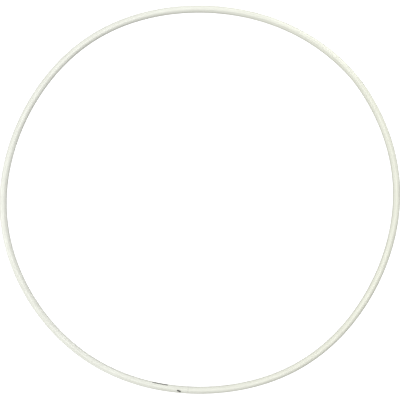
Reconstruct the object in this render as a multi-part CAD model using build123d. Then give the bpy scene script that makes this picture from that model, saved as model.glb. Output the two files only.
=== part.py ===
"""Rhythmic gymnastics hoop: one bent plastic tube, closed on an inner plug with a staple each side.

The hoop lies flat. +Z is the hoop's axis and +X its longer diameter. The origin is on the surface
that the hoop lies on, below the middle of its outline. Lengths are in millimetres, angles in degrees.

A place along the hoop is given by its heading: the direction, anticlockwise from +X, that the
outside of the hoop faces there. A place round the tube is given by its clock: 0 faces away from the
hoop's middle, 90 faces up and 180 faces the hoop's middle.
"""

from build123d import *
import math
import os

# Tube
TUBE_RADIUS = 8.0
BORE_RADIUS = 5.2

# Bend of the hoop: a base radius, waves that make it out of round, and one soft corner.
# A wave is how many times it goes round, how far it lifts the outline, and a crest's heading.
BASE_RADIUS = 437.0
WAVES = ((2, 5.3, -6), (3, 0.6, -6), (4, 1.4, 29), (6, 1.3, 2))
CORNER_HEADING = 40
CORNER_RADIUS_LOSS = 155.0
CORNER_SPREAD = 6
ARC_COUNT = 72

# Joint: the butted tube ends, the plug inside them and the two staples that hold it
SEAM_HEADING = 267.0
SEAM_GAP = 0.1
END_BEVEL = 0.12
PLUG_LENGTH = 80.0
PLUG_CLEARANCE = 0.05
PLUG_BEVEL = 1.2
STAPLE_OFFSET = 20.0
UPPER_CLOCK = 71
LOWER_CLOCK = -45
STAPLE_SLANT = 18

# Staple wire and its bent shape
CROWN_LENGTH = 8.0
WIRE_WIDTH = 2.3
WIRE_THICKNESS = 1.2
CROWN_SINK = 0.5
STAPLE_HEIGHT = 10.0
OUTER_BEND = 1.0
INNER_BEND = 0.3
POINT_BEVEL = 0.5

# Marking strip: a plain thin band stuck along the tube, left blank
STRIP_HEADING = 259.5
STRIP_CLOCK = 153
STRIP_LENGTH = 35.0
STRIP_WIDTH = 2.6
STRIP_THICKNESS = 0.15
STRIP_CORNER = 0.8

# How closely an edge has to agree with a place or size to be picked by it
EDGE_MATCH = 0.05


def outward(heading):
    """Level direction that the outside of the hoop faces at a heading."""
    turn = math.radians(heading)
    return Vector(math.cos(turn), math.sin(turn), 0)


def forward(heading):
    """Direction along the tube, anticlockwise round the hoop."""
    return outward(heading + 90)


def wanted_radius(heading):
    """Bend radius that the waves and the soft corner ask for."""
    radius = BASE_RADIUS
    for times, lift, crest in WAVES:
        radius += lift * (1 - times**2) * math.cos(math.radians(times * (heading - crest)))
    away = (heading - CORNER_HEADING + 180) % 360 - 180
    return radius - CORNER_RADIUS_LOSS * math.exp(-((away / CORNER_SPREAD) ** 2))


def bend_radii():
    """Radius of each arc, trued so that the arcs close on themselves after one turn."""
    middles = [(i + 0.5) * ARC_TURN for i in range(ARC_COUNT)]
    radii = [wanted_radius(middle) for middle in middles]
    error = Vector(0, 0, 0)
    for middle, radius in zip(middles, radii):
        error += outward(middle) * radius * (2 / ARC_COUNT)
    return [radius - error.dot(outward(middle)) for middle, radius in zip(middles, radii)]


def arc_starts():
    """Where each arc starts, with the outline's middle over the origin and the tube on the ground."""
    place = Vector(0, 0, TUBE_RADIUS)
    starts = []
    for i, radius in enumerate(RADII):
        starts.append(place)
        place += (outward((i + 1) * ARC_TURN) - outward(i * ARC_TURN)) * radius
    quarter = ARC_COUNT // 4
    east, north, west, south = starts[0], starts[quarter], starts[2 * quarter], starts[3 * quarter]
    middle = Vector((east.X + west.X) / 2, (north.Y + south.Y) / 2, 0)
    return [start - middle for start in starts]


ARC_TURN = 360 / ARC_COUNT
RADII = bend_radii()
STARTS = arc_starts()


def arc_at(heading):
    """Radius and centre of the arc that holds a heading."""
    index = int(heading // ARC_TURN) % ARC_COUNT
    radius = RADII[index]
    return radius, STARTS[index] - outward(index * ARC_TURN) * radius


def centre_point(heading):
    """Point of the tube's centreline at a heading."""
    radius, centre = arc_at(heading)
    return centre + outward(heading) * radius


def along(heading, distance):
    """Heading reached by going a short distance along the tube from a heading."""
    radius, _ = arc_at(heading)
    return heading + math.degrees(distance / radius)


def centreline(start, end):
    """The centreline's tangent arcs from one heading to a later one."""
    first = math.floor(start / ARC_TURN) + 1
    last = math.ceil(end / ARC_TURN)
    headings = [start] + [i * ARC_TURN for i in range(first, last)] + [end]
    arcs = []
    for a, b in zip(headings, headings[1:]):
        radius, centre = arc_at((a + b) / 2)
        points = [centre + outward(heading) * radius for heading in (a, (a + b) / 2, b)]
        arcs.append(ThreePointArc(*points))
    return Wire([arc.edge() for arc in arcs])


def section_plane(heading):
    """Plane across the tube: its X faces away from the hoop's middle and its Y faces up."""
    return Plane(origin=centre_point(heading), x_dir=outward(heading), z_dir=-forward(heading))


def swept(section, start, end):
    """Sweeps a section, drawn about the middle of the tube, from one heading to a later one."""
    return sweep(section_plane(start) * section, path=centreline(start, end))


def rim(solid, heading, radius):
    """The round edge that bounds a swept solid's end at a heading."""
    middle = centre_point(heading)
    circles = [edge for edge in solid.edges() if edge.geom_type == GeomType.CIRCLE]
    return [
        edge
        for edge in circles
        if abs(edge.radius - radius) < EDGE_MATCH and (edge.arc_center - middle).length < EDGE_MATCH
    ]


def staple_plane(distance, clock):
    """Frame of a staple, a distance along the tube from the seam: Z out at a clock, X along the crown."""
    heading = along(SEAM_HEADING, distance)
    rise, slant = math.radians(clock), math.radians(STAPLE_SLANT)
    out = outward(heading) * math.cos(rise) + Vector(0, 0, 1) * math.sin(rise)
    downward = forward(heading).cross(out)
    crown = forward(heading) * math.cos(slant) + downward * math.sin(slant)
    return Plane(origin=centre_point(heading), x_dir=crown, z_dir=out)


def make_staple(frame):
    """A staple bent from flat wire: a crown sunk a little into the tube, and two pointed legs."""
    crown_top = TUBE_RADIUS - CROWN_SINK + WIRE_THICKNESS
    top_middle = Align.CENTER, Align.MAX
    outside = Pos(0, crown_top) * Rectangle(CROWN_LENGTH, STAPLE_HEIGHT, align=top_middle)
    outside = fillet(outside.vertices().group_by(Axis.Y)[-1], OUTER_BEND)
    inside_size = CROWN_LENGTH - 2 * WIRE_THICKNESS, STAPLE_HEIGHT
    inside = Pos(0, crown_top - WIRE_THICKNESS) * Rectangle(*inside_size, align=top_middle)
    inside = fillet(inside.vertices().group_by(Axis.Y)[-1], INNER_BEND)
    shape = outside - inside
    shape = chamfer(shape.vertices().group_by(Axis.Y)[0], POINT_BEVEL)
    return frame * extrude(Plane.XZ * shape, amount=WIRE_WIDTH / 2, both=True)


def make_tube(staples):
    """The bent tube, from one side of the seam all the way round to the other."""
    start = along(SEAM_HEADING, SEAM_GAP / 2)
    end = along(SEAM_HEADING, -SEAM_GAP / 2) + 360
    tube = swept(Circle(TUBE_RADIUS) - Circle(BORE_RADIUS), start, end)
    rims = rim(tube, start, TUBE_RADIUS) + rim(tube, end, TUBE_RADIUS)
    return chamfer(rims, END_BEVEL) - staples


def make_plug(staples):
    """The solid dowel inside the joint, bevelled so that it starts easily into each tube end."""
    radius = BORE_RADIUS - PLUG_CLEARANCE
    start = along(SEAM_HEADING, -PLUG_LENGTH / 2)
    end = along(SEAM_HEADING, PLUG_LENGTH / 2)
    plug = swept(Circle(radius), start, end)
    rims = rim(plug, start, radius) + rim(plug, end, radius)
    return chamfer(rims, PLUG_BEVEL) - staples


def make_strip():
    """The marking strip, a thin band with rounded corners that lies on the tube's surface."""
    half_width = math.degrees(STRIP_WIDTH / 2 / TUBE_RADIUS)
    low, high = STRIP_CLOCK - half_width, STRIP_CLOCK + half_width
    back = CenterArc((0, 0), TUBE_RADIUS, low, high - low)
    front = CenterArc((0, 0), TUBE_RADIUS + STRIP_THICKNESS, low, high - low)
    ends = Line(back @ 0, front @ 0) + Line(back @ 1, front @ 1)
    start = along(STRIP_HEADING, -STRIP_LENGTH / 2)
    end = along(STRIP_HEADING, STRIP_LENGTH / 2)
    strip = swept(make_face(back + front + ends), start, end)
    corners = [edge for edge in strip.edges() if edge.length < STRIP_THICKNESS + EDGE_MATCH]
    return fillet(corners, STRIP_CORNER)


def main():
    upper_staple = make_staple(staple_plane(-STAPLE_OFFSET, UPPER_CLOCK))
    lower_staple = make_staple(staple_plane(STAPLE_OFFSET, LOWER_CLOCK))
    staples = [upper_staple, lower_staple]
    nodes = {
        "hoop_tube": make_tube(staples),
        "joint_plug": make_plug(staples),
        "upper_staple": upper_staple,
        "lower_staple": lower_staple,
        "marking_strip": make_strip(),
    }
    os.makedirs("parts", exist_ok=True)
    for name, shape in nodes.items():
        export_step(shape, f"parts/{name}.step")
        print(name, round(shape.volume, 1), "mm3")


main()
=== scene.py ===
"""Looks of the rhythmic hoop: a bent off-white tube, its joint, two staples and a marking strip.

Lengths are in metres and angles in degrees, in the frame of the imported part: the hoop lies flat on
z = 0, +Z is its axis. A heading is a place along the hoop: the direction, anticlockwise from +X, that
the outside of the hoop faces there. A clock is a place round the tube: 0 faces away from the hoop's
middle, 90 faces up and 180 faces the hoop's middle.
"""

import math

import bpy
import numpy as np
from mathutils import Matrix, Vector


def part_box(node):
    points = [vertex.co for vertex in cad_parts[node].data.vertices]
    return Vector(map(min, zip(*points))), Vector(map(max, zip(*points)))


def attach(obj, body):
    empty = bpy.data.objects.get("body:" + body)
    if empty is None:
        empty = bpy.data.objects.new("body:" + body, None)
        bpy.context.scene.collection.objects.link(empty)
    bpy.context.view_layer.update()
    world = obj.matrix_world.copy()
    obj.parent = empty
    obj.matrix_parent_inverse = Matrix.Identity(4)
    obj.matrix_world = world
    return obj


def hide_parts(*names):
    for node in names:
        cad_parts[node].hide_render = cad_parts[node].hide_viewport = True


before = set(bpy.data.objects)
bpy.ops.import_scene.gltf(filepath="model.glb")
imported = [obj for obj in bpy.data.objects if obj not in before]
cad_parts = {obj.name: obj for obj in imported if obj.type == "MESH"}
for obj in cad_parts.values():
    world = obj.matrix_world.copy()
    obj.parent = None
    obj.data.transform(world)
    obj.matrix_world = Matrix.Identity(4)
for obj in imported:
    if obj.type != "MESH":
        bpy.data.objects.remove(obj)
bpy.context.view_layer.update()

MM = 0.001
UP = np.array([0.0, 0.0, 1.0])

# Tube and bend, as in the part: a base radius, waves that make the hoop out of round, and one soft
# corner. A wave is how many times it goes round, how far it lifts the outline, and a crest's heading.
TUBE_RADIUS = 8.0 * MM
BORE_RADIUS = 5.2 * MM
BASE_RADIUS = 437.0 * MM
WAVES = ((2, 5.3 * MM, -6), (3, 0.6 * MM, -6), (4, 1.4 * MM, 29), (6, 1.3 * MM, 2))
CORNER_HEADING = 40
CORNER_RADIUS_LOSS = 155.0 * MM
CORNER_SPREAD = 6
ARC_COUNT = 72
ARC_TURN = 360 / ARC_COUNT

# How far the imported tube's edges may be from where these numbers put them
BEND_MATCH = 1.0 * MM

# Joint, staples and marking strip, as in the part
SEAM_HEADING = 267.0
SEAM_GAP = 0.1 * MM
END_BEVEL = 0.12 * MM
STAPLE_OFFSET = 20.0 * MM
UPPER_CLOCK = 71
LOWER_CLOCK = -45
STAPLE_SLANT = 18
CROWN_LENGTH = 8.0 * MM
WIRE_WIDTH = 2.3 * MM
WIRE_THICKNESS = 1.2 * MM
CROWN_SINK = 0.5 * MM
STAPLE_HEIGHT = 10.0 * MM
OUTER_BEND = 1.0 * MM
STRIP_HEADING = 259.5
STRIP_CLOCK = 153
STRIP_LENGTH = 35.0 * MM
STRIP_WIDTH = 2.6 * MM
STRIP_THICKNESS = 0.15 * MM
STRIP_CORNER = 0.8 * MM

# Fineness of the tube's mesh: points round it, and the rings' spacing away from the joint, near it
# and in the bore
SIDES = 72
FAR_STEP = 4.6 * MM
NEAR_STEP = 0.5 * MM
NEAR_REACH = 60.0 * MM
BORE_STEP = 15.0 * MM
BEVEL_POINTS = 6

# Fineness of the staples' meshes
ROUNDING_POINTS = 5
LEG_POINTS = 12
BEND_POINTS = 9
CROWN_POINTS = 8
FLAT_SHARES = (0.2, 0.5, 0.8)

# Fineness of the marking strip's mesh
STRIP_ROWS = 61
STRIP_CORNER_ROWS = 9
STRIP_POINTS = 9

# Edges between faces that turn more than this are shaded as sharp
SHARP_ANGLE = 50

# Small shapes that only the eye needs: the tube's flattening at the soft corner, the dent and its lip
# round each staple's crown, and the strip's softened edge
CORNER_FLATTENING = 0.25 * MM
DENT_REACH = 1.6 * MM
DENT_LIP = 0.07 * MM
STRIP_SOFTENING = STRIP_THICKNESS / 3

# The wire's rounded edges, and its points: how long they are and how much of the thickness is left
WIRE_ROUNDING = 0.25 * MM
POINT_LENGTH = 0.8 * MM
POINT_SHARE = 0.25

# Dirt and painted shade: how fast they thin out away from the crowns and the seam, and how dense they
# are at the seam
GRIME_AND_SHADE_REACH = 0.5 * MM
SEAM_GRIME_AND_SHADE = 0.25

# How strongly each pattern shows in the tube's plastic: in its colour, its roughness and its relief
STREAK_SHARE = 0.35
SCUFF_SHARE = 0.5
GRIME_AND_SHADE_SHARE = 0.75
WORN_ROUGHNESS = 0.16
STREAK_DEPTH = 0.03 * MM
PEEL_DEPTH = 0.018 * MM
SCUFF_DEPTH = 0.03 * MM

# Colours, linear
TUBE_COLOUR = (0.88, 0.896, 0.813, 1.0)
TUBE_SHADE = (0.815, 0.827, 0.742, 1.0)
# Tint that the tube takes on towards +X
YELLOWER_TINT = (1.0, 0.998, 0.955, 1.0)
SCUFF_COLOUR = (0.46, 0.46, 0.44, 1.0)
# Dirt colour: dust on the plug, and dirt with painted shade round the staples' crowns and at the seam
# on the tube
GRIME_AND_SHADE_COLOUR = (0.20, 0.19, 0.16, 1.0)
STAPLE_COLOUR = (0.012, 0.012, 0.013, 1.0)
STEEL_COLOUR = (0.50, 0.49, 0.47, 1.0)
STRIP_COLOUR = (0.10, 0.10, 0.10, 1.0)
STRIP_WORN_COLOUR = (0.28, 0.28, 0.27, 1.0)
# The plug's grey is darkened as painted shade, so that the gap between the tube's ends reads as a dark
# line
PLUG_SHADED_COLOUR = (0.30, 0.30, 0.29, 1.0)
FLOOR_COLOUR = (0.20, 0.20, 0.20, 1.0)

# Half the width of the floor
FLOOR_REACH = 40.0

# The picture: what the camera looks at, the width that it takes in there, and how far up it stands
VIEW_MIDDLE = (0.3 * MM, -0.7 * MM, TUBE_RADIUS)
VIEW_WIDTH = 0.891
CAMERA_HEIGHT = 2.2
SENSOR = 36.0

# Light: how bright the floor and the room are to the eye, and the room as a light
FLOOR_GLOW = 1.2
ROOM_GLOW = 1.2
ROOM_LIGHT = 0.36

# Lamps that face the hoop: direction and rise of each seen from the hoop, distance, width, height
# and power
LAMPS = {
    "overhead": (0, 90, 4.5, 3.0, 3.0, 79.0),
    "rear_box": (60, 22, 3.0, 1.8, 0.9, 38.0),
    "left_box": (185, 22, 3.0, 1.8, 0.9, 30.0),
    "front_fill": (245, 10, 3.0, 1.8, 0.9, 11.0),
}


def outward(heading):
    """Level direction that the outside of the hoop faces at a heading."""
    turn = math.radians(heading)
    return np.array([math.cos(turn), math.sin(turn), 0.0])


def wanted_radius(heading):
    """Bend radius that the waves and the soft corner ask for."""
    radius = BASE_RADIUS
    for times, lift, crest in WAVES:
        radius += lift * (1 - times**2) * math.cos(math.radians(times * (heading - crest)))
    away = (heading - CORNER_HEADING + 180) % 360 - 180
    return radius - CORNER_RADIUS_LOSS * math.exp(-((away / CORNER_SPREAD) ** 2))


def bend_radii():
    """Radius of each arc, trued so that the arcs close on themselves after one turn."""
    middles = [(i + 0.5) * ARC_TURN for i in range(ARC_COUNT)]
    radii = [wanted_radius(middle) for middle in middles]
    error = sum(outward(m) * r * (2 / ARC_COUNT) for m, r in zip(middles, radii))
    return [r - error @ outward(m) for m, r in zip(middles, radii)]


def arc_starts():
    """Where each arc starts, with the outline's middle over the origin and the tube on the floor."""
    place = UP * TUBE_RADIUS
    starts = []
    for i, radius in enumerate(RADII):
        starts.append(place)
        place = place + (outward((i + 1) * ARC_TURN) - outward(i * ARC_TURN)) * radius
    east, north, west, south = starts[:: ARC_COUNT // 4]
    middle = np.array([(east[0] + west[0]) / 2, (north[1] + south[1]) / 2, 0.0])
    return [start - middle for start in starts]


RADII = bend_radii()
STARTS = arc_starts()


def centre_point(heading):
    """Point of the tube's centreline at a heading."""
    index = int(heading // ARC_TURN) % ARC_COUNT
    return STARTS[index] + (outward(heading) - outward(index * ARC_TURN)) * RADII[index]


def bend_at(heading):
    """Bend radius at a heading."""
    return RADII[int(heading // ARC_TURN) % ARC_COUNT]


def along(heading, distance):
    """Heading reached by going a short distance along the tube from a heading."""
    return heading + math.degrees(distance / bend_at(heading))


def on_tube(heading, clock, radius):
    """Point at a clock round the tube and a radius from its centreline."""
    turn = math.radians(clock)
    sideways = outward(heading) * math.cos(turn) * radius
    return centre_point(heading) + sideways + UP * math.sin(turn) * radius


def mesh_piece(name, points, faces, material, own_place, **values):
    """A mesh object that keeps, for its material, each point's own place and some values there."""
    mesh = bpy.data.meshes.new(name)
    mesh.from_pydata([tuple(p) for p in points], [], faces)
    place = mesh.attributes.new("own_place", "FLOAT_VECTOR", "POINT")
    place.data.foreach_set("vector", np.asarray(own_place, np.float32).ravel())
    for kind, amounts in values.items():
        kept = mesh.attributes.new(kind, "FLOAT", "POINT")
        kept.data.foreach_set("value", np.asarray(amounts, np.float32))
    mesh.shade_smooth()
    mesh.set_sharp_from_angle(angle=math.radians(SHARP_ANGLE))
    mesh.materials.append(material)
    piece = bpy.data.objects.new(name, mesh)
    bpy.context.scene.collection.objects.link(piece)
    return piece


def rings_to_faces(rings, sides):
    """Quads that join each ring of points to the next."""
    faces = []
    for ring in range(rings - 1):
        for side in range(sides):
            a = ring * sides + side
            b = ring * sides + (side + 1) % sides
            faces.append((a, b, b + sides, a + sides))
    return faces


def along_length():
    """Headings where the arcs meet, from the seam round to itself, and the distance to each."""
    first = math.floor(SEAM_HEADING / ARC_TURN) + 1
    meets = [SEAM_HEADING] + [i * ARC_TURN for i in range(first, first + ARC_COUNT)]
    meets.append(SEAM_HEADING + 360)
    steps = [math.radians(b - a) * bend_at((a + b) / 2) for a, b in zip(meets, meets[1:])]
    return meets, np.concatenate([[0.0], np.cumsum(steps)])


MEETS, MEET_DISTANCES = along_length()
HOOP_LENGTH = MEET_DISTANCES[-1]


def heading_at(distance):
    """Heading at a distance along the tube from the seam."""
    return float(np.interp(distance, MEET_DISTANCES, MEETS))


def staple_frame(offset, clock):
    """Origin on the centreline, and the directions along the crown, across it and out of the tube."""
    heading = along(SEAM_HEADING, offset)
    rise, slant = math.radians(clock), math.radians(STAPLE_SLANT)
    out = outward(heading) * math.cos(rise) + UP * math.sin(rise)
    forward = outward(heading + 90)
    crown = forward * math.cos(slant) + np.cross(forward, out) * math.sin(slant)
    return centre_point(heading), crown, np.cross(out, crown), out


STAPLES = {
    "upper_staple": staple_frame(-STAPLE_OFFSET, UPPER_CLOCK),
    "lower_staple": staple_frame(STAPLE_OFFSET, LOWER_CLOCK),
}


def smooth_step(x):
    """Smooth rise from 0 to 1 as x goes from 0 to 1."""
    x = np.clip(x, 0.0, 1.0)
    return x * x * (3 - 2 * x)


def near_staples(points):
    """How far the driven-in crowns move the tube's surface out at some points, and the dirt and painted
    shade there.
    """
    moved, dirt_and_shade = np.zeros(len(points)), np.zeros(len(points))
    for origin, crown, across, out in STAPLES.values():
        local = points - origin
        past_end = np.maximum(np.abs(local @ crown) - (CROWN_LENGTH - WIRE_WIDTH) / 2, 0.0)
        away = np.hypot(past_end, local @ across) - WIRE_WIDTH / 2
        sunk = CROWN_SINK * (1 - smooth_step(away / DENT_REACH))
        lip = DENT_LIP * np.exp(-(((away - DENT_REACH) / (DENT_REACH / 3)) ** 2))
        moved += np.where(local @ out > 0, lip - sunk, 0.0)
        # Dirt and painted shade hugging each crown, in its dent
        dirt_and_shade += np.where(local @ out > 0, np.exp(-np.maximum(away, 0.0) / GRIME_AND_SHADE_REACH), 0.0)
    return moved, dirt_and_shade


def tube_stations():
    """(distance from the seam, drop below the outer radius) of each ring on the outside of the tube."""
    half_gap = SEAM_GAP / 2
    bevel = [(END_BEVEL * (1 - math.cos(a)), END_BEVEL * (1 - math.sin(a)))
             for a in np.radians(np.linspace(0, 90, BEVEL_POINTS))]
    near = np.arange(END_BEVEL + NEAR_STEP, NEAR_REACH, NEAR_STEP)
    half = bevel + [(d, 0.0) for d in near]
    far_count = round((HOOP_LENGTH - 2 * NEAR_REACH) / FAR_STEP)
    far = np.linspace(NEAR_REACH, HOOP_LENGTH - NEAR_REACH, far_count)
    first = [(half_gap + d, drop) for d, drop in half]
    last = [(HOOP_LENGTH - half_gap - d, drop) for d, drop in reversed(half)]
    return first + [(d, 0.0) for d in far] + last


def tube_ring(distance, drop):
    """One ring on the outside of the tube: its points, their own places and the dirt and painted shade
    there.
    """
    heading = heading_at(distance)
    clocks = np.arange(SIDES) * 2 * math.pi / SIDES
    section = np.stack([np.cos(clocks), np.sin(clocks)], 1)
    away = (heading - CORNER_HEADING + 180) % 360 - 180
    flat = CORNER_FLATTENING * math.exp(-((away / CORNER_SPREAD) ** 2))
    radii = TUBE_RADIUS - drop - flat * section[:, 0] ** 2
    from_seam = min(distance, HOOP_LENGTH - distance)
    # Dirt and painted shade at the seam's cut ends
    dirt_and_shade = np.full(SIDES, SEAM_GRIME_AND_SHADE * math.exp(-from_seam / GRIME_AND_SHADE_REACH))
    if from_seam < NEAR_REACH:
        moved, near = near_staples(section_points(heading, section * radii[:, None]))
        radii += moved
        dirt_and_shade += near
    section *= radii[:, None]
    return section_points(heading, section), own_places(section, distance), dirt_and_shade


def bore_ring(distance):
    """One ring on the wall of the bore."""
    clocks = np.arange(SIDES) * 2 * math.pi / SIDES
    section = np.stack([np.cos(clocks), np.sin(clocks)], 1) * BORE_RADIUS
    points = section_points(heading_at(distance), section)
    return points, own_places(section, distance), np.zeros(SIDES)


def section_points(heading, section):
    """Points in the frame for points (outward, up) of the tube's section at a heading."""
    sideways = np.outer(section[:, 0], outward(heading))
    return centre_point(heading) + sideways + np.outer(section[:, 1], UP)


def own_places(section, distance):
    """Each point's own place: outward and up in the section, and the distance along the tube."""
    return np.column_stack([section, np.full(len(section), distance)])


def make_tube(material):
    """The bent tube with its bore, its rounded cut ends and the dents that the staples make."""
    outer = tube_stations()
    bore = np.linspace(outer[-1][0], outer[0][0], round(HOOP_LENGTH / BORE_STEP))
    rings = [tube_ring(*station) for station in outer] + [bore_ring(d) for d in bore]
    points, places, dirt_and_shade = (np.concatenate(column) for column in zip(*rings))
    faces = rings_to_faces(len(rings), SIDES)
    last = (len(rings) - 1) * SIDES
    for side in range(SIDES):
        beside = (side + 1) % SIDES
        faces.append((last + side, last + beside, beside, side))
    return mesh_piece("bent_tube", points, faces, material, places, grime=dirt_and_shade)


def wire_section():
    """Points round a flat wire, as (across, through its thickness, how much of an edge it is)."""
    wide, thick = WIRE_WIDTH / 2 - WIRE_ROUNDING, WIRE_THICKNESS / 2 - WIRE_ROUNDING
    corners = ((wide, thick), (-wide, thick), (-wide, -thick), (wide, -thick))
    points = []
    for i, (x, z) in enumerate(corners):
        for turn in np.linspace(0, 90, ROUNDING_POINTS):
            a = math.radians(90 * i + turn)
            edge = math.sin(math.radians(2 * turn))
            points.append((x + WIRE_ROUNDING * math.cos(a), z + WIRE_ROUNDING * math.sin(a), edge))
        next_x, next_z = corners[(i + 1) % 4]
        x_out, z_out = outward(90 * (i + 1))[:2] * WIRE_ROUNDING
        for share in FLAT_SHARES:
            points.append((x + (next_x - x) * share + x_out, z + (next_z - z) * share + z_out, 0.0))
    return points


def staple_path():
    """Points along a staple's wire and the wire's direction there, both as (along crown, out)."""
    bend = OUTER_BEND - WIRE_THICKNESS / 2
    side = (CROWN_LENGTH - WIRE_THICKNESS) / 2
    top = TUBE_RADIUS - CROWN_SINK + WIRE_THICKNESS / 2
    tip = TUBE_RADIUS - CROWN_SINK + WIRE_THICKNESS - STAPLE_HEIGHT
    leg = [((-side, z), (0.0, 1.0)) for z in np.linspace(tip, top - bend, LEG_POINTS)[:-1]]
    corner = []
    for a in np.radians(np.linspace(180, 90, BEND_POINTS)):
        place = -side + bend + bend * math.cos(a), top - bend + bend * math.sin(a)
        corner.append((place, (math.sin(a), -math.cos(a))))
    crown = [((x, top), (1.0, 0.0)) for x in np.linspace(-side + bend, 0, CROWN_POINTS)[1:]]
    half = leg + corner + crown
    other = [((-x, z), (dx, -dz)) for (x, z), (dx, dz) in reversed(half[:-1])]
    return half + other


def make_staple(name, material):
    """A staple of flat wire with rounded edges, its two legs drawn to chisel points."""
    origin, crown, across, out = STAPLES[name]
    section = wire_section()
    path = staple_path()
    tip = path[0][0][1]
    points, places, edges = [], [], []
    for (x, z), (dx, dz) in path:
        pinch = POINT_SHARE + (1 - POINT_SHARE) * min((z - tip) / POINT_LENGTH, 1.0)
        for wide, thick, edge in section:
            px = x - dz * thick * pinch
            pz = z + dx * thick * pinch
            points.append(origin + crown * px + across * wide + out * pz)
            places.append((px, wide, pz))
            edges.append(edge)
    count = len(section)
    faces = rings_to_faces(len(path), count)
    faces.append(tuple(reversed(range(count))))
    faces.append(tuple(range(len(points) - count, len(points))))
    return mesh_piece(name + "_wire", points, faces, material, places, edge=edges)


def strip_rows():
    """(distance from the strip's middle, half its width there), closer together round the corners."""
    straight = STRIP_LENGTH / 2 - STRIP_CORNER
    turn = [(straight + STRIP_CORNER * math.sin(a), STRIP_WIDTH / 2 - STRIP_CORNER * (1 - math.cos(a)))
            for a in np.radians(np.linspace(0, 90, STRIP_CORNER_ROWS))]
    side = [(d, STRIP_WIDTH / 2) for d in np.linspace(-straight, straight, STRIP_ROWS)[1:-1]]
    return [(-d, half) for d, half in reversed(turn)] + side + turn


def make_strip(material):
    """The marking strip: a thin film with rounded corners and a softened edge, wrapped on the tube."""
    shoulder = STRIP_THICKNESS - STRIP_SOFTENING
    points, places = [], []
    rows = strip_rows()
    for distance, half in rows:
        heading = along(STRIP_HEADING, distance)
        flat = half - STRIP_SOFTENING
        under = [(v, 0.0) for v in np.linspace(-half, half, STRIP_POINTS)]
        over = [(v, STRIP_THICKNESS) for v in np.linspace(flat, -flat, STRIP_POINTS)]
        ring = under + [(half, shoulder)] + over + [(-half, shoulder)]
        for v, height in ring:
            clock = STRIP_CLOCK + math.degrees(v / TUBE_RADIUS)
            points.append(on_tube(heading, clock, TUBE_RADIUS + height))
            places.append((v, height, distance))
    count = len(ring)
    faces = rings_to_faces(len(rows), count)
    faces.append(tuple(reversed(range(count))))
    faces.append(tuple(range(len(points) - count, len(points))))
    return mesh_piece("marking_film", points, faces, material, places)


def node(tree, kind, inputs=None, **settings):
    """A new shader node. Each input is given a value, or a socket to be linked to."""
    made = tree.nodes.new(kind)
    for name, value in settings.items():
        setattr(made, name, value)
    for name, value in (inputs or {}).items():
        if isinstance(value, bpy.types.NodeSocket):
            tree.links.new(value, made.inputs[name])
        else:
            made.inputs[name].default_value = value
    return made


def calculate(tree, operation, *values):
    """Socket with the result of a sum on numbers or sockets."""
    return node(tree, "ShaderNodeMath", dict(enumerate(values)), operation=operation).outputs[0]


def spread(tree, value, low, high, to_low=0.0, to_high=1.0):
    """Socket that runs smoothly from to_low to to_high as value goes from low to high."""
    inputs = {"Value": value, "From Min": low, "From Max": high, "To Min": to_low, "To Max": to_high}
    return node(tree, "ShaderNodeMapRange", inputs, interpolation_type="SMOOTHSTEP").outputs[0]


def attribute(tree, name):
    """Node that reads an attribute kept on the mesh's points."""
    return node(tree, "ShaderNodeAttribute", attribute_name=name)


def noise(tree, place, size, stretch=1.0, detail=2.0, seed=0.0):
    """Socket with noise of about a given feature size, stretched along the third axis of place."""
    scale = (1 / size, 1 / size, 1 / (size * stretch))
    where = {"Vector": place, "Scale": scale, "Location": (seed, 2 * seed, 3 * seed)}
    moved = node(tree, "ShaderNodeMapping", where).outputs[0]
    inputs = {"Vector": moved, "Scale": 1.0, "Detail": detail, "Roughness": 0.55}
    return node(tree, "ShaderNodeTexNoise", inputs).outputs["Fac"]


def blend_colours(tree, share, first, second, way="MIX"):
    """Colour socket that goes from the first colour as share goes from 0 to 1: to the second colour,
    or to their product where way is MULTIPLY."""
    mixed = node(tree, "ShaderNodeMix", data_type="RGBA", blend_type=way)
    for index, value in ((0, share), (6, first), (7, second)):
        if isinstance(value, bpy.types.NodeSocket):
            tree.links.new(value, mixed.inputs[index])
        else:
            mixed.inputs[index].default_value = value
    return mixed.outputs[2]


def bump(tree, height, depth, strength=1.0, under=None):
    """Normal socket that raises the surface by up to depth metres where height is 1."""
    inputs = {"Height": height, "Distance": depth, "Strength": strength}
    if under is not None:
        inputs["Normal"] = under
    return node(tree, "ShaderNodeBump", inputs).outputs[0]


def new_material(name):
    """An empty material's node tree and its surface shader."""
    material = bpy.data.materials.new(name)
    material.use_nodes = True
    tree = material.node_tree
    return material, tree, tree.nodes["Principled BSDF"]


def finish_shader(tree, shader, colour, roughness, normal, **values):
    """Links the patterns to the surface shader, and sets what is the same all over it."""
    tree.links.new(colour, shader.inputs["Base Color"])
    tree.links.new(roughness, shader.inputs["Roughness"])
    tree.links.new(normal, shader.inputs["Normal"])
    for name, value in values.items():
        shader.inputs[name.replace("_", " ")].default_value = value


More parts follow.
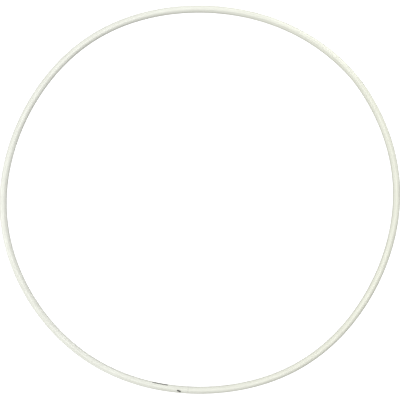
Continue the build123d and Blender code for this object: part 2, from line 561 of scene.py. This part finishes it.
def tube_plastic():
    """Off-white extruded polyethylene, a little yellower towards +X: faint draw lines and cloudiness,
    dulled and marked on the outside of the hoop."""
    material, tree, shader = new_material("tube_plastic")
    place = attribute(tree, "own_place").outputs["Vector"]
    across = node(tree, "ShaderNodeSeparateXYZ", {"Vector": place}).outputs["X"]
    grime = attribute(tree, "grime").outputs["Fac"]

    cloud = noise(tree, place, 9 * MM, stretch=5, detail=3, seed=1)
    streak = noise(tree, place, 1.4 * MM, stretch=160, detail=2, seed=2)
    clouded = calculate(tree, "MULTIPLY", cloud, 1 - STREAK_SHARE)
    tint = calculate(tree, "MULTIPLY_ADD", streak, STREAK_SHARE, clouded)
    fresh = blend_colours(tree, spread(tree, tint, 0.3, 0.7), TUBE_SHADE, TUBE_COLOUR)
    hoop_place = node(tree, "ShaderNodeTexCoord").outputs["Object"]
    side = node(tree, "ShaderNodeSeparateXYZ", {"Vector": hoop_place}).outputs["X"]
    # Yellower tint that grows towards +X
    towards_plus_x = spread(tree, side, -0.5 * BASE_RADIUS, BASE_RADIUS)
    clean = blend_colours(tree, towards_plus_x, fresh, YELLOWER_TINT, "MULTIPLY")

    outside = spread(tree, across, 0.80 * TUBE_RADIUS, TUBE_RADIUS)
    scratch = noise(tree, place, 0.5 * MM, stretch=26, detail=3, seed=3)
    patch = noise(tree, place, 6 * MM, stretch=8, detail=2, seed=4)
    wear = calculate(tree, "MULTIPLY", outside, spread(tree, patch, 0.42, 0.68))
    mark = calculate(tree, "MULTIPLY", wear, spread(tree, scratch, 0.52, 0.72))
    scuffed = calculate(tree, "MULTIPLY", mark, SCUFF_SHARE)
    marked = blend_colours(tree, scuffed, clean, SCUFF_COLOUR)
    # Darkened with dirt and painted shade round the staples' crowns and at the seam
    soiled_and_shaded = calculate(tree, "MULTIPLY", grime, GRIME_AND_SHADE_SHARE)
    colour = blend_colours(tree, soiled_and_shaded, marked, GRIME_AND_SHADE_COLOUR)

    handling = noise(tree, place, 14 * MM, stretch=3, detail=4, seed=5)
    gloss = spread(tree, handling, 0.3, 0.75, 0.27, 0.43)
    roughness = calculate(tree, "MULTIPLY_ADD", wear, WORN_ROUGHNESS, gloss)

    peel = noise(tree, place, 0.9 * MM, stretch=2, detail=1, seed=6)
    lined = bump(tree, streak, STREAK_DEPTH, 0.6)
    peeled = bump(tree, peel, PEEL_DEPTH, 0.6, lined)
    normal = bump(tree, mark, -SCUFF_DEPTH, 0.8, peeled)
    finish_shader(tree, shader, colour, roughness, normal, IOR=1.5)
    return material


def staple_wire():
    """Dark coated steel wire, rubbed bright in places along its edges, with fine draw lines."""
    material, tree, shader = new_material("staple_wire")
    place = attribute(tree, "own_place").outputs["Vector"]
    turned = node(tree, "ShaderNodeCombineXYZ")
    parts = node(tree, "ShaderNodeSeparateXYZ", {"Vector": place})
    for source, target in (("Y", "X"), ("Z", "Y"), ("X", "Z")):
        tree.links.new(parts.outputs[source], turned.inputs[target])
    line = noise(tree, turned.outputs[0], 0.12 * MM, stretch=40, detail=2, seed=7)
    chip = noise(tree, place, 0.35 * MM, detail=3, seed=8)
    edge = spread(tree, attribute(tree, "edge").outputs["Fac"], 0.4, 1.0)
    bare = calculate(tree, "MULTIPLY", edge, spread(tree, chip, 0.5, 0.66))
    colour = blend_colours(tree, bare, STAPLE_COLOUR, STEEL_COLOUR)
    roughness = spread(tree, line, 0.3, 0.7, 0.32, 0.52)
    normal = bump(tree, line, 0.02 * MM, 0.7)
    tree.links.new(bare, shader.inputs["Metallic"])
    finish_shader(tree, shader, colour, roughness, normal, IOR=1.5)
    return material


def strip_film():
    """Dark grey printed film: fine grain, a slightly paler rim and scratches along the tube."""
    material, tree, shader = new_material("strip_film")
    place = attribute(tree, "own_place").outputs["Vector"]
    grain = noise(tree, place, 0.18 * MM, detail=2, seed=9)
    worn = noise(tree, place, 1.6 * MM, stretch=3, detail=3, seed=10)
    side = node(tree, "ShaderNodeSeparateXYZ", {"Vector": place}).outputs["X"]
    rim = spread(tree, calculate(tree, "ABSOLUTE", side), 0.38 * STRIP_WIDTH, 0.5 * STRIP_WIDTH)
    rubbed = calculate(tree, "MULTIPLY", spread(tree, worn, 0.45, 0.75), 0.5)
    pale = calculate(tree, "MULTIPLY_ADD", rim, 0.25, rubbed)
    colour = blend_colours(tree, pale, STRIP_COLOUR, STRIP_WORN_COLOUR)
    roughness = spread(tree, worn, 0.3, 0.7, 0.45, 0.6)
    normal = bump(tree, grain, 0.012 * MM, 0.7)
    finish_shader(tree, shader, colour, roughness, normal, IOR=1.48)
    return material


def plug_plastic():
    """Grey moulded dowel inside the tube, darkened further as painted shade so that the gap between the
    tube's ends reads as a dark line, with fine lines turned round it and dust in the gap.
    """
    material, tree, shader = new_material("plug_plastic")
    place = node(tree, "ShaderNodeTexCoord").outputs["Object"]
    dust = noise(tree, place, 0.8 * MM, detail=3, seed=11)
    grain = noise(tree, place, 0.2 * MM, detail=2, seed=12)
    colour = blend_colours(tree, spread(tree, dust, 0.35, 0.7), PLUG_SHADED_COLOUR, GRIME_AND_SHADE_COLOUR)
    roughness = spread(tree, dust, 0.3, 0.7, 0.55, 0.75)
    normal = bump(tree, grain, 0.02 * MM, 0.7)
    finish_shader(tree, shader, colour, roughness, normal, IOR=1.48)
    return material


def make_floor():
    """Plain pale floor, bright to the eye like a lit table, and duller to what stands on it."""
    mesh = bpy.data.meshes.new("floor")
    corners = [(x * FLOOR_REACH, y * FLOOR_REACH, 0) for x, y in ((-1, -1), (1, -1), (1, 1), (-1, 1))]
    mesh.from_pydata(corners, [], [(0, 1, 2, 3)])
    material = bpy.data.materials.new("floor")
    material.use_nodes = True
    tree = material.node_tree
    tree.nodes.clear()
    matt = node(tree, "ShaderNodeBsdfDiffuse", {"Color": FLOOR_COLOUR}).outputs[0]
    seen = node(tree, "ShaderNodeLightPath").outputs["Is Camera Ray"]
    strength = calculate(tree, "MULTIPLY", seen, FLOOR_GLOW)
    glow = node(tree, "ShaderNodeEmission", {"Strength": strength}).outputs[0]
    both = node(tree, "ShaderNodeAddShader", {0: matt, 1: glow}).outputs[0]
    node(tree, "ShaderNodeOutputMaterial", {"Surface": both})
    mesh.materials.append(material)
    floor = bpy.data.objects.new("floor", mesh)
    bpy.context.scene.collection.objects.link(floor)


def make_surroundings():
    """White all round to the eye, and dimmer as a light."""
    world = bpy.data.worlds.new("studio")
    world.use_nodes = True
    tree = world.node_tree
    tree.nodes.clear()
    seen = node(tree, "ShaderNodeLightPath").outputs["Is Camera Ray"]
    strength = calculate(tree, "MULTIPLY_ADD", seen, ROOM_GLOW - ROOM_LIGHT, ROOM_LIGHT)
    sky = node(tree, "ShaderNodeBackground", {"Color": (1.0, 1.0, 1.0, 1.0), "Strength": strength})
    node(tree, "ShaderNodeOutputWorld", {"Surface": sky.outputs[0]})
    bpy.context.scene.world = world


def soft_lamp(name, direction, rise, distance, width, height, power):
    """A flat rectangular lamp that faces the middle of the hoop."""
    light = bpy.data.lights.new(name, "AREA")
    light.shape = "RECTANGLE"
    light.size = width
    light.size_y = height
    light.energy = power
    lamp = bpy.data.objects.new(name, light)
    turn = math.radians(rise)
    place = Vector(outward(direction) * math.cos(turn) + UP * math.sin(turn)) * distance
    lamp.location = place
    lamp.rotation_euler = (-place).to_track_quat("-Z", "Y").to_euler()
    lamp.visible_camera = False
    bpy.context.scene.collection.objects.link(lamp)


def make_camera():
    """Straight above the hoop, with +Y at the top of the picture."""
    camera = bpy.data.cameras.new("camera")
    camera.sensor_width = SENSOR
    camera.lens = SENSOR * (CAMERA_HEIGHT - VIEW_MIDDLE[2]) / VIEW_WIDTH
    stand = bpy.data.objects.new("camera", camera)
    stand.location = (VIEW_MIDDLE[0], VIEW_MIDDLE[1], CAMERA_HEIGHT)
    bpy.context.scene.collection.objects.link(stand)
    bpy.context.scene.camera = stand


def check_bend():
    """Stops the script if the part was bent another way than the numbers above say."""
    low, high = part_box("hoop_tube")
    edges = ((0, 0, high), (90, 1, high), (180, 0, low), (270, 1, low))
    for heading, axis, corner in edges:
        place = on_tube(heading, 0, TUBE_RADIUS)[axis]
        if abs(place - corner[axis]) > BEND_MATCH:
            raise ValueError(f"the tube's edge at heading {heading} isn't where the part has it")


check_bend()

tube = make_tube(tube_plastic())
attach(tube, "root")
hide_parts("hoop_tube")

wire = staple_wire()
for staple_name in STAPLES:
    staple = make_staple(staple_name, wire)
    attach(staple, "root")
    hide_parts(staple_name)

film = make_strip(strip_film())
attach(film, "root")
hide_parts("marking_strip")

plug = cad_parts["joint_plug"]
plug.material_slots[0].material = plug_plastic()

make_floor()
make_surroundings()
for lamp_name, facts in LAMPS.items():
    soft_lamp(lamp_name, *facts)
make_camera()
bpy.context.scene.view_settings.view_transform = "Standard"
